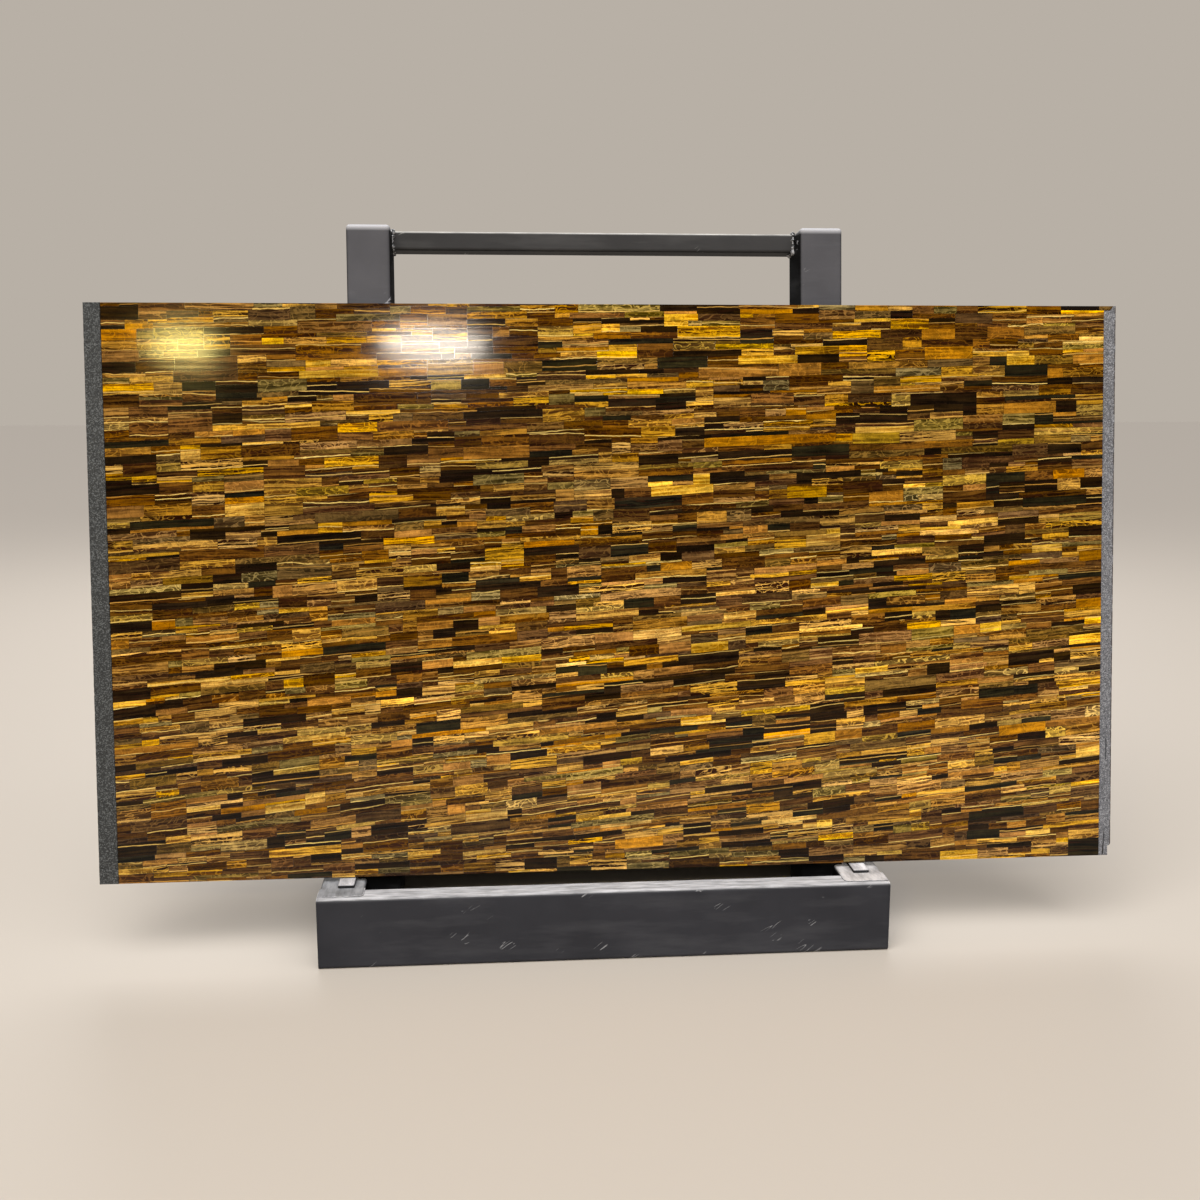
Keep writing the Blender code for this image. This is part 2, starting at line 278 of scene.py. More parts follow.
def brick_figure(rng, across, up):
    """The grade and figure of one brick, as values for its vertices. Bricks of one vein lie near one another, dark
    stone gathers in a band above the middle, and paler stone is the more golden. A painted sheen, the silk's glow
    under the light drawn into the colour, brightens the bricks towards the lower right and darkens them in that band."""
    leaning = noise.noise(Vector((across / 0.16, up / 0.050, 57)))
    draw = abs(rng.random() + 0.42 * leaning)
    draw = 2 - draw if draw > 1 else draw
    height = up / SLAB_HEIGHT
    draw **= 1 + 0.24 * math.exp(-(((height - DARK_BAND_UP) / DARK_BAND_WIDTH) ** 2))
    grade = STONE_GRADES[min(int(np.searchsorted(GRADE_REACH, draw * GRADE_REACH[-1])), len(STONE_GRADES) - 1)]
    vein = noise.noise(Vector((across / 0.30, up / 0.12, 31)))
    # painted sheen: broad brighter and darker parts of the panel, standing in for the silk's glow under the light
    painted_sheen_sweep = 1 + 0.45 * across / SLAB_WIDTH * (1 - height) - 0.15 * math.sin(2.5 * math.pi * (height - 0.5))
    shade = USUAL_SHADE * painted_sheen_sweep * rng.lognormvariate(0.50 * vein, 0.15)
    warmth = rng.gauss(0.0, 0.012)
    depth_of_colour = min(max(rng.gauss(0.92 + 0.05 * draw + 0.08 * height, 0.08), 0.80 + 0.10 * draw), 1.20)
    tones = []
    for code in grade[2:4]:
        red, green, blue, alpha = colour(code)
        grey = 0.21 * red + 0.72 * green + 0.07 * blue
        red, green, blue = (max(grey + (part - grey) * depth_of_colour, 0.0) for part in (red, green, blue))
        tones.append((red * shade * (1 + warmth), green * shade, blue * shade * (1 - 2 * warmth), alpha))
    seam = rng.choice(SEAM_PLACES) if rng.random() < SEAM_CHANCE else -1
    return {
        "dark_layer": tones[0],
        "light_layer": tones[1],
        "figure": (rng.random(), min(1, max(0, rng.gauss(grade[4], 0.15))), grade[5] * rng.uniform(0.25, 1.0)),
        "seam": (seam, rng.uniform(0.35, 1.0), rng.gauss(0, 0.018)),
    }


def brick_mesh(columns, back):
    """Vertices, faces and place-in-brick of one closed brick."""
    points, faces, along = [], [], []
    start = columns[0][0]
    for across, low, high in columns:
        tall = high - low
        for depth in (0.0, back):
            points += [(across, depth, low), (across, depth, high)]
            along += [(across - start, 0.0, tall), (across - start, tall, tall)]
    for k in range(len(columns) - 1):
        a, b = 4 * k, 4 * k + 4
        faces += [
            (a, b, b + 1, a + 1),
            (a + 2, a + 3, b + 3, b + 2),
            (a + 1, b + 1, b + 3, a + 3),
            (a, a + 2, b + 2, b),
        ]
    last = 4 * len(columns) - 4
    faces += [(0, 1, 3, 2), (last, last + 2, last + 3, last + 1)]
    return points, faces, along


# Polished tiger's eye: layers of brown and gold across each brick, silky fibres that cross the layers, and a clear,
# mirror-bright finish. Fibres are some 0.1 mm wide, and are drawn 4 mm wide so that they show.
LAYER_PITCH = 0.0058
THREAD_PITCH = 0.0080
FIBRE_PITCH = 0.004
CRACKLE_PITCH = 0.013


def join(tree, node, inputs):
    """Gives each socket a value, a hex colour, an output, or a node, which stands for its first live output."""
    for socket, value in inputs.items():
        if isinstance(value, str):
            value = colour(value)
        if isinstance(value, bpy.types.Node):
            value = next(output for output in value.outputs if output.enabled)
        if isinstance(value, bpy.types.NodeSocket):
            tree.links.new(value, node.inputs[socket])
        else:
            node.inputs[socket].default_value = value


def add_node(tree, kind, inputs=None, **settings):
    """Adds a node with its settings and inputs. A kind such as "Math ADD" also names its operation."""
    kind, *operation = kind.split()
    made = tree.nodes.new("ShaderNode" + kind)
    if operation:
        made.operation = operation[0]
    for name, value in settings.items():
        setattr(made, name, value)
    join(tree, made, inputs or {})
    return made


def start_material(name):
    """A new material, what adds a node to it, and what sets its shader's inputs."""
    made = bpy.data.materials.new(name)
    made.use_nodes = True
    tree = made.node_tree
    shader = tree.nodes["Principled BSDF"]
    return made, functools.partial(add_node, tree), functools.partial(join, tree, shader)


def tigers_eye():
    """The stone, read from the values at each brick's vertices: its place in the brick, its grade and its figure."""
    made, add, finish = start_material("polished golden tiger's eye")
    place, traits, seam = (
        add("SeparateXYZ", {0: add("Attribute", attribute_name=kept).outputs["Vector"]}).outputs
        for kept in ("along", "figure", "seam")
    )
    seed = add("Math MULTIPLY", {0: traits["X"], 1: 97.0})
    flat = add("CombineXYZ", {0: place["X"], 1: place["Y"], 2: seed})

    # the layers tilt and waver a little inside the brick
    waver_at = add("VectorMath MULTIPLY", {0: flat, 1: (16, 45, 1)})
    waver = add("TexNoise", {"Vector": waver_at, "Scale": 1.0, "Detail": 3.0, "Roughness": 0.6})
    waver_size = add("MapRange", {0: traits["Z"], 3: 0.0055, 4: 0.0200})
    waver_off = add("Math SUBTRACT", {0: waver, 1: 0.5})
    waver_by = add("Math MULTIPLY", {0: waver_off, 1: waver_size})
    tilt = add("Math MULTIPLY_ADD", {0: place["X"], 1: seam["Z"], 2: place["Y"]})
    bent = add("Math ADD", {0: tilt, 1: waver_by})
    bent_at = add("CombineXYZ", {0: place["X"], 1: bent, 2: seed})

    # how often each figure repeats in a metre along and across the brick, its own slice of the noise, and its detail
    figures = []
    for repeats, drawn in (
        ((5, 1 / LAYER_PITCH, 1.7), {"Detail": 2.0, "Roughness": 0.55}),  # layers
        # painted sheen: the silk's glow under the light, drawn into the colour
        ((20, 70, 2.3), {"Detail": 1.0}),  # glow
        ((1 / FIBRE_PITCH, 55, 3.1), {"Detail": 3.0, "Roughness": 0.7}),  # fibres
        ((95, 130, 3.7), {"Detail": 2.0}),  # mottle
        ((70, 22, 4.3), {"Detail": 2.0, "Distortion": 0.4}),  # hairs
        ((4, 1 / THREAD_PITCH, 2.9), {"Detail": 1.0}),  # threads
    ):
        at = add("VectorMath MULTIPLY", {0: bent_at, 1: repeats})
        figures.append(add("TexNoise", {"Vector": at, "Scale": 1.0, **drawn}))
    layers, painted_sheen, fibres, mottle, hairs, threads = figures

    softness = add("MapRange", {0: traits["Y"], 3: 0.20, 4: 0.02})
    from_level = add("Math SUBTRACT", {0: 0.5, 1: softness})
    to_level = add("Math ADD", {0: 0.5, 1: softness})
    light = add("MapRange", {0: layers, 1: from_level, 2: to_level}, interpolation_type="SMOOTHSTEP")
    dark_layer = add("Attribute", attribute_name="dark_layer").outputs["Color"]
    light_layer = add("Attribute", attribute_name="light_layer").outputs["Color"]
    layered = add("Mix", {0: light, 6: dark_layer, 7: light_layer}, data_type="RGBA")

    # the silk's glow, a painted sheen, strengthens and fades across the brick, and the fibres cross it
    painted_sheen_gain = add("MapRange", {0: painted_sheen, 1: 0.3, 2: 0.7, 3: 0.58, 4: 1.5})
    fibre_gain = add("MapRange", {0: fibres, 1: 0.3, 2: 0.7, 3: 0.85, 4: 1.15})
    mottle_off = add("Math SUBTRACT", {0: mottle, 1: 0.5})
    mottle_size = add("MapRange", {0: traits["Z"], 3: 0.25, 4: 1.5})
    mottle_gain = add("Math MULTIPLY_ADD", {0: mottle_off, 1: mottle_size, 2: 1.0})
    hair = add("Math COMPARE", {0: hairs, 1: 0.55, 2: 0.014})
    hair_gain = add("MapRange", {0: hair, 3: 1.0, 4: 0.74})
    sheen_and_fibre_gain = add("Math MULTIPLY", {0: painted_sheen_gain, 1: fibre_gain})
    mottled = add("Math MULTIPLY", {0: sheen_and_fibre_gain, 1: mottle_gain})
    gain = add("Math MULTIPLY", {0: mottled, 1: hair_gain})
    silky = add("VectorMath SCALE", {0: layered, "Scale": gain})

    # threads run along the layers: dark ones of iron oxide, and bright ones, painted glints where the silk lies best
    # to the light
    dark_thread = add("Math COMPARE", {0: threads, 1: 0.47, 2: 0.03})
    dark_share = add("Math MULTIPLY", {0: dark_thread, 1: traits["Y"]})
    dark_mix = add("Math MULTIPLY", {0: dark_share, 1: 0.72})
    threaded = add("Mix", {0: dark_mix, 6: silky, 7: "#32170a"}, data_type="RGBA")
    bright_off = add("Math SUBTRACT", {0: threads, 1: 0.565})
    bright_away = add("Math ABSOLUTE", {0: bright_off})
    glint_thread = add("MapRange", {0: bright_away, 1: 0.012, 2: 0.030, 3: 0.62, 4: 0.0})
    glint_share = add("Math MULTIPLY", {0: glint_thread, 1: traits["Y"]})
    glint_tone = add("VectorMath SCALE", {0: light_layer, "Scale": 1.45})
    glinted = add("Mix", {0: glint_share, 6: threaded.outputs[2], 7: glint_tone}, data_type="RGBA")

    # crackled bricks carry a net of fine healed cracks
    crackle_at = add("VectorMath MULTIPLY", {0: bent_at, 1: (0.42 / CRACKLE_PITCH, 0.75 / CRACKLE_PITCH, 1)})
    crackle_turn = add("VectorRotate", {"Vector": crackle_at, "Angle": 0.6}, rotation_type="Z_AXIS")
    crackle = add("TexNoise", {"Vector": crackle_turn, "Scale": 1.0, "Detail": 1.5, "Distortion": 1.1})
    crack_away = add("Math SUBTRACT", {0: crackle, 1: 0.5})
    crack_size = add("Math ABSOLUTE", {0: crack_away})
    crack_line = add("MapRange", {0: crack_size, 1: 0.010, 2: 0.036, 3: 1.0, 4: 0.0})
    crack_share = add("Math MULTIPLY", {0: crack_line, 1: traits["Z"]})
    crack_tone = add("VectorMath SCALE", {0: light_layer, "Scale": 1.85})
    cracked = add("Mix", {0: crack_share, 6: glinted.outputs[2], 7: crack_tone}, data_type="RGBA")

    # some bricks hold one pale seam
    seam_height = add("Math MULTIPLY", {0: place["Z"], 1: seam["X"]})
    seam_off = add("Math SUBTRACT", {0: bent, 1: seam_height})
    seam_away = add("Math ABSOLUTE", {0: seam_off})
    seam_line = add("MapRange", {0: seam_away, 1: 0.0006, 2: 0.0013, 3: 1.0, 4: 0.0})
    seam_share = add("Math MULTIPLY", {0: seam_line, 1: seam["Y"]})
    seam_tone = add("Mix", {0: traits["X"], 6: "#e9c870", 7: "#bb8433"}, data_type="RGBA")
    seamed = add("Mix", {0: seam_share, 6: cracked, 7: seam_tone}, data_type="RGBA")

    # dark flecks and pits, really some 0.5 mm wide and drawn 2 to 3 mm wide so that they show
    fleck_at = add("VectorMath MULTIPLY", {0: flat, 1: (300, 520, 5)})
    flecks = add("TexNoise", {"Vector": fleck_at, "Scale": 1.0, "Detail": 1.0})
    fleck_share = add("MapRange", {0: flecks, 1: 0.70, 2: 0.76, 3: 0.0, 4: 0.8})
    flecked = add("Mix", {0: fleck_share, 6: seamed, 7: "#1a0c04"}, data_type="RGBA")

    haze = add("TexNoise", {"Scale": 9.0, "Detail": 2.0})
    polish = add("MapRange", {0: haze, 3: 0.05, 4: 0.11})
    ripple = add("TexNoise", {"Scale": 14.0, "Detail": 1.0})
    bump = add("Bump", {"Height": ripple, "Strength": 0.12, "Distance": 0.0006})
    finish({"Base Color": flecked, "Roughness": polish, "Normal": bump, "IOR": 1.54, "Specular IOR Level": 0.12})
    return made


stone = tigers_eye()

# Bricks are joined in groups of courses. Each group's fronts are laid flat, in three lengths one above another, in a
# map of its own.
group_height = SLAB_HEIGHT / COURSE_GROUPS
middle_up = [float(up_of(0.0, course)) for _, course in bricks]
SHEET_MARGIN = 0.004

for group in range(COURSE_GROUPS):
    members = []
    for (columns, course), up in zip(bricks, middle_up):
        if min(max(int(up / group_height), 0), COURSE_GROUPS - 1) == group:
            centre = (columns[0][0] + columns[-1][0]) / 2
            share = (centre - MOSAIC_LEFT) / (MOSAIC_RIGHT - MOSAIC_LEFT)
            members.append((min(max(int(share * GROUP_LENGTHS), 0), GROUP_LENGTHS - 1), columns))
    members.sort(key=lambda member: (member[0], member[1][0][0], member[1][0][1]))
    rise = float(np.interp((group + 0.5) * group_height, course_up, course_rise))
    sheet_y = SHEET_MARGIN
    points, faces, along, sheet = [], [], [], []
    values = {name: [] for name in ("dark_layer", "light_layer", "figure", "seam")}
    for length in range(GROUP_LENGTHS):
        part = [columns for number, columns in members if number == length]
        start = min(columns[0][0] for columns in part)
        flat_lows = [low - rise * (across - start) for columns in part for across, low, _ in columns]
        flat_highs = [high - rise * (across - start) for columns in part for across, _, high in columns]
        lift = sheet_y - min(flat_lows)
        for columns in part:
            new_points, new_faces, new_along = brick_mesh(columns, BRICK_DEPTH)
            faces += [[i + len(points) for i in face] for face in new_faces]
            points += new_points
            along += new_along
            sheet += [(x - start + SHEET_MARGIN, z - rise * (x - start) + lift) for x, _, z in new_points]
            for name, value in brick_figure(rng, columns[0][0], columns[0][1]).items():
                values[name] += [value] * len(new_points)
        sheet_y = max(flat_highs) + lift + SHEET_MARGIN
    name = f"tigers_eye_courses_{group + 1}"
    piece = add_piece(name, on_slab(points), faces, stone, ["tigers_eye_panel"])
    mesh = piece.data
    values["along"] = along
    for key, rows in values.items():
        kind = "FLOAT_COLOR" if "layer" in key else "FLOAT_VECTOR"
        field = "color" if "layer" in key else "vector"
        layer = mesh.attributes.new(key, kind, "POINT")
        layer.data.foreach_set(field, np.asarray(rows, np.float32).ravel())
    sheet = np.asarray(sheet)
    sheet /= max(sheet.max(0)) + SHEET_MARGIN
    corners = np.empty(len(mesh.loops), np.int32)
    mesh.loops.foreach_get("vertex_index", corners)
    flat_map = mesh.uv_layers.new(name="OFBake")
    flat_map.data.foreach_set("uv", sheet[corners].astype(np.float32).ravel())


# -----
# The resin bed holds the bricks and fills the joints. It is nearly black epoxy, poured and polished with the stone.
# Its back carries a woven glass mesh set in clear resin, which keeps such a slab from breaking.

JOINT_DEPTH = 0.0002
BED_BACK = 0.0190
MESH_PITCH = 0.005
EDGE_CLEARANCE = 0.0002


def slab_prism(outline, front, back, chamfer):
    """A closed plate between two depths, from an (across, up) outline that runs anticlockwise seen from the front."""
    bm = bmesh.new()
    rings = [[bm.verts.new((x, depth, z)) for x, z in outline] for depth in (front, back)]
    bm.faces.new(rings[0])
    bm.faces.new(rings[1][::-1])
    for i in range(len(outline)):
        j = (i + 1) % len(outline)
        bm.faces.new((rings[0][j], rings[0][i], rings[1][i], rings[1][j]))
    bmesh.ops.recalc_face_normals(bm, faces=bm.faces)
    if chamfer:
        rims = [e for e in bm.edges if abs(e.verts[0].co.y - e.verts[1].co.y) < TINY]
        bmesh.ops.bevel(bm, geom=rims, offset=chamfer, segments=1, affect="EDGES")
    bm.verts.index_update()
    points = [tuple(v.co) for v in bm.verts]
    faces = [[v.index for v in f.verts] for f in bm.faces]
    bm.free()
    return on_slab(points), faces


def left_strip_width(up):
    """The left granite strip narrows upwards."""
    share = up / SLAB_HEIGHT
    return LEFT_STRIP_FOOT_WIDTH + share * (LEFT_STRIP_TOP_WIDTH - LEFT_STRIP_FOOT_WIDTH)


def panel_outline(inset):
    """The mosaic's outline between the strips, with the tab at its top right."""
    left, right = -SLAB_WIDTH / 2, SLAB_WIDTH / 2
    tab_foot = SLAB_HEIGHT - TAB_HEIGHT + inset
    return (
        (left + left_strip_width(0) + GAP + inset, inset),
        (MOSAIC_RIGHT - inset, inset),
        (MOSAIC_RIGHT - inset, tab_foot),
        (right - TAB_FOOT_END - inset, tab_foot),
        (right - TAB_TOP_END - inset, SLAB_HEIGHT - inset),
        (left + left_strip_width(SLAB_HEIGHT) + GAP + inset, SLAB_HEIGHT - inset),
    )


def dark_resin():
    """Polished epoxy, nearly black and as bright as the stone beside it."""
    made, add, finish = start_material("polished dark epoxy")
    cloud = add("TexNoise", {"Scale": 40.0, "Detail": 2.0})
    tone = add("Mix", {0: cloud, 6: "#0a0705", 7: "#1d130a"}, data_type="RGBA")
    polish = add("MapRange", {0: cloud, 3: 0.06, 4: 0.14})
    finish({"Base Color": tone, "Roughness": polish, "IOR": 1.54})
    return made


def glass_mesh_backing():
    """Woven glass mesh under clear resin. The real mesh has 5 mm squares, which show at their own size."""
    made, add, finish = start_material("glass mesh in epoxy")
    place = add("TexCoord")
    turned = add("VectorRotate", {"Vector": place.outputs["Object"], "Angle": -SLAB_LEAN}, rotation_type="X_AXIS")
    parts = add("SeparateXYZ", {0: turned})
    waves = []
    for axis in ("X", "Z"):
        turn = add("Math MULTIPLY", {0: parts.outputs[axis], 1: math.pi / MESH_PITCH})
        wave = add("Math SINE", {0: turn})
        size = add("Math ABSOLUTE", {0: wave})
        waves.append(add("MapRange", {0: size, 1: 0.35, 2: 0.55, 3: 1.0, 4: 0.0}))
    thread = add("Math MAXIMUM", {0: waves[0], 1: waves[1]})
    patch = add("TexNoise", {"Scale": 5.0, "Detail": 4.0})
    resin = add("Mix", {0: patch, 6: "#5d4f38", 7: "#857659"}, data_type="RGBA")
    cloth = add("Mix", {0: thread, 6: resin, 7: "#b9b3a2"}, data_type="RGBA")
    sheen = add("MapRange", {0: patch, 3: 0.28, 4: 0.55})
    bump = add("Bump", {"Height": thread, "Strength": 0.6, "Distance": 0.0004})
    finish({"Base Color": cloth, "Roughness": sheen, "Normal": bump})
    return made


bed_points, bed_faces = slab_prism(panel_outline(EDGE_CLEARANCE), JOINT_DEPTH, BED_BACK, 0)
resin = dark_resin()
add_piece("resin_bed", bed_points, bed_faces, resin, ["tigers_eye_panel"])
back_points, back_faces = slab_prism(panel_outline(0), BED_BACK + 0.0001, SLAB_THICKNESS, 0)
add_piece("glass_mesh_backing", back_points, back_faces, glass_mesh_backing(), ["tigers_eye_panel"])


# -----
# The granite strips frame the slab's ends. They are sawn, not polished, so they look dry and finely speckled. The
# left strip has a short separate piece at its foot, and the right strip is split near its foot.

LEFT_JOINT_UP = 0.0355
STRIP_ARRIS = 0.0008
SPLIT_TOP = 0.066
SPLIT_FOOT_IN = 0.0178
SPLIT_TOP_IN = 0.0160
SPLIT_WIDTH = 0.0034
HAIRLINE = 0.0004
CHIP_DEPTH = 0.0070
CHIP_TOP = 0.029
NIBBLE_PITCH = 0.006
NIBBLE_DEPTH = 0.0011
GAP_SHADOW_WIDTH = 0.0035
SLIT_IN = 0.0140
SLIT_UP = (0.236, 0.286)
SLIT_HALF_WIDTH = 0.0016
GRAIN_PITCH = 0.0020


def sawn_granite(name, ground, pale, dark, gap_shadow_from, slit_at=9.0):
    """Grey granite: grains of 1 to 2 mm in pale, grey and dark minerals, dulled by the saw, whose pits are drawn 3 mm
    wide so that they show. Beyond gap_shadow_from it is darkened in dashes, a painted shadow of the gap at its end,
    and a dark slit 50 mm long runs up it at slit_at."""
    made, add, finish = start_material(name)
    place = add("TexCoord").outputs["Object"]
    grain = add("TexVoronoi", {"Vector": place, "Scale": 1 / GRAIN_PITCH})
    pick = add("SeparateColor", {0: grain.outputs["Color"]})
    pale_share = add("MapRange", {0: pick.outputs["Red"], 1: 0.62, 2: 0.90})
    dark_share = add("MapRange", {0: pick.outputs["Green"], 1: 0.60, 2: 0.88})
    cloud = add("TexNoise", {"Vector": place, "Scale": 22.0, "Detail": 4.0})
    cloud_gain = add("MapRange", {0: cloud, 1: 0.3, 2: 0.7, 3: 0.82, 4: 1.2})
    base = add("VectorMath SCALE", {0: colour(ground)[:3], "Scale": cloud_gain})
    darker = add("Mix", {0: dark_share, 6: base, 7: dark}, data_type="RGBA")
    mixed = add("Mix", {0: pale_share, 6: darker, 7: pale}, data_type="RGBA")
    where = add("SeparateXYZ", {0: place})
    across = where.outputs["X"]
    outer = add("MapRange", {0: across, 1: gap_shadow_from, 2: gap_shadow_from + 0.0008})
    facing = add("SeparateXYZ", {0: add("NewGeometry").outputs["Normal"]})
    on_face = add("MapRange", {0: facing.outputs["X"], 1: 0.5, 2: 0.9, 3: 1.0, 4: 0.15})
    run = add("VectorMath MULTIPLY", {0: place, 1: (0, 0, 42)})
    broken = add("TexNoise", {"Vector": run, "Scale": 1.0, "Detail": 2.0})
    dashes = add("MapRange", {0: broken, 1: 0.42, 2: 0.50, 3: 0.0, 4: 0.85})
    dashed = add("Math MULTIPLY", {0: outer, 1: dashes})
    gap_shadow_share = add("Math MULTIPLY", {0: dashed, 1: on_face})
    # painted shadow: a dashed dark band along the strip's end, the shadow of the gap there
    gap_shaded = add("Mix", {0: gap_shadow_share, 6: mixed.outputs[2], 7: "#32261f"}, data_type="RGBA")
    low, high = (SLAB_FOOT_Z + up * math.cos(SLAB_LEAN) for up in SLIT_UP)
    middle = add("Math COMPARE", {0: where.outputs["Z"], 1: (low + high) / 2, 2: (high - low) / 2})
    narrow = add("Math COMPARE", {0: across, 1: slit_at, 2: SLIT_HALF_WIDTH})
    slit = add("Math MULTIPLY", {0: middle, 1: narrow})
    slit_share = add("Math MULTIPLY", {0: slit, 1: 0.85})
    slitted = add("Mix", {0: slit_share, 6: gap_shaded.outputs[2], 7: "#26282b"}, data_type="RGBA")
    rough = add("MapRange", {0: pick.outputs["Blue"], 3: 0.55, 4: 0.8})
    pits = add("TexNoise", {"Vector": place, "Scale": 350.0, "Detail": 2.0})
    bump = add("Bump", {"Height": pits, "Strength": 0.5, "Distance": 0.0005})
    finish({"Base Color": slitted, "Roughness": rough, "Normal": bump})
    return made


def worn_side(start, end, seed):
    """Points along one straight side, the inner ones nibbled back to its left."""
    a, b = Vector(start), Vector(end)
    along = b - a
    inward = Vector((-along.y, along.x)).normalized()
    count = max(1, int(along.length / NIBBLE_PITCH))
    points = [a]
    for k in range(1, count):
        place = a + along * k / count
        nibble = abs(noise.noise(Vector((place.x * 90, place.y * 90, seed)))) * NIBBLE_DEPTH
        points.append(place + inward * nibble)
    return points


def add_strip(name, outline, material, replaced, seed, worn=()):
    """A granite strip. The sides in worn have the small chips of a sawn arris."""
    points = []
    for i, start in enumerate(outline):
        end = outline[(i + 1) % len(outline)]
        if i in worn:
            points += worn_side(start, end, seed + i)
        else:
            points.append(Vector(start))
    made, faces = slab_prism([tuple(p) for p in points], 0, SLAB_THICKNESS, STRIP_ARRIS)
    return add_piece(name, made, faces, material, [replaced])


strip_left, strip_right = -SLAB_WIDTH / 2, SLAB_WIDTH / 2
dark_granite = sawn_granite("sawn dark grey granite", "#262727", "#585a5a", "#131414", SLAB_WIDTH)
light_granite = sawn_granite(
    "sawn mid grey granite", "#626266", "#909094", "#404145", strip_right - GAP_SHADOW_WIDTH, strip_right - SLIT_IN
)
add_strip(
    "granite_left",
    (
        (strip_left, LEFT_JOINT_UP + GAP),
        (strip_left + left_strip_width(LEFT_JOINT_UP + GAP), LEFT_JOINT_UP + GAP),
        (strip_left + left_strip_width(SLAB_HEIGHT), SLAB_HEIGHT),
        (strip_left, SLAB_HEIGHT),
    ),
    dark_granite, "granite_strip_left", 5, worn=(1, 3),
)
add_strip(
    "granite_left_foot",
    (
        (strip_left, 0),
        (strip_left + left_strip_width(0), 0),
        (strip_left + left_strip_width(LEFT_JOINT_UP), LEFT_JOINT_UP),
        (strip_left, LEFT_JOINT_UP),
    ),
    dark_granite, "granite_strip_left_foot", 9, worn=(3,),
)
seam_x = MOSAIC_RIGHT + GAP
under_tab = SLAB_HEIGHT - TAB_HEIGHT - GAP
split_x = strip_right - SPLIT_TOP_IN
foot_split_x = strip_right - SPLIT_FOOT_IN
add_strip(
    "granite_right",
    (
        (seam_x, 0),
        (foot_split_x - SPLIT_WIDTH, 0),
        (split_x, SPLIT_TOP),
        (strip_right, SPLIT_TOP + 0.004),
        (strip_right, SLAB_HEIGHT),
        (strip_right - TAB_TOP_END + GAP, SLAB_HEIGHT),
        (strip_right - TAB_FOOT_END + GAP, under_tab),
        (seam_x, under_tab),
    ),
    light_granite, "granite_strip_right", 13, worn=(1, 3),
)
add_strip(
    "granite_right_splinter",
    (
        (foot_split_x, 0),
        (strip_right - CHIP_DEPTH, 0),
        (strip_right - CHIP_DEPTH, CHIP_TOP * 0.80),
        (strip_right - CHIP_DEPTH * 0.35, CHIP_TOP * 0.86),
        (strip_right, CHIP_TOP),
        (strip_right, SPLIT_TOP + 0.0035),
        (split_x + HAIRLINE, SPLIT_TOP - HAIRLINE),
    ),
    light_granite, "granite_strip_right", 17, worn=(1, 6),
)
# Dark resin has run into the split.
split_outline = (
    (foot_split_x - SPLIT_WIDTH + GAP, HAIRLINE),
    (foot_split_x - GAP, HAIRLINE),
    (split_x - HAIRLINE, SPLIT_TOP * 0.86),
)
split_points, split_faces = slab_prism(split_outline, 0.003, BED_BACK, 0)
add_piece("split_resin", split_points, split_faces, resin, ["granite_strip_right"])


# -----
# The rack's base is welded from rectangular steel tube: two beams across the floor, closed by end caps, and two rails
# between them. It is brush-painted dark grey, and its tops are pale, partly where slabs and slings have scuffed the
# paint and partly as painted reflection of the light from above.

BASE_HEIGHT = 0.167
RACK_X = -0.037
BASE_WIDTH = 1.320
RAIL_WIDTH = 0.104
SCRATCH_SHARE = 0.014
SCRATCH_SLANT = 0.60
SCRATCH_REPEATS = (11, 9, 85)
SCRATCH_SHIFT = (0, -6.72, 0)


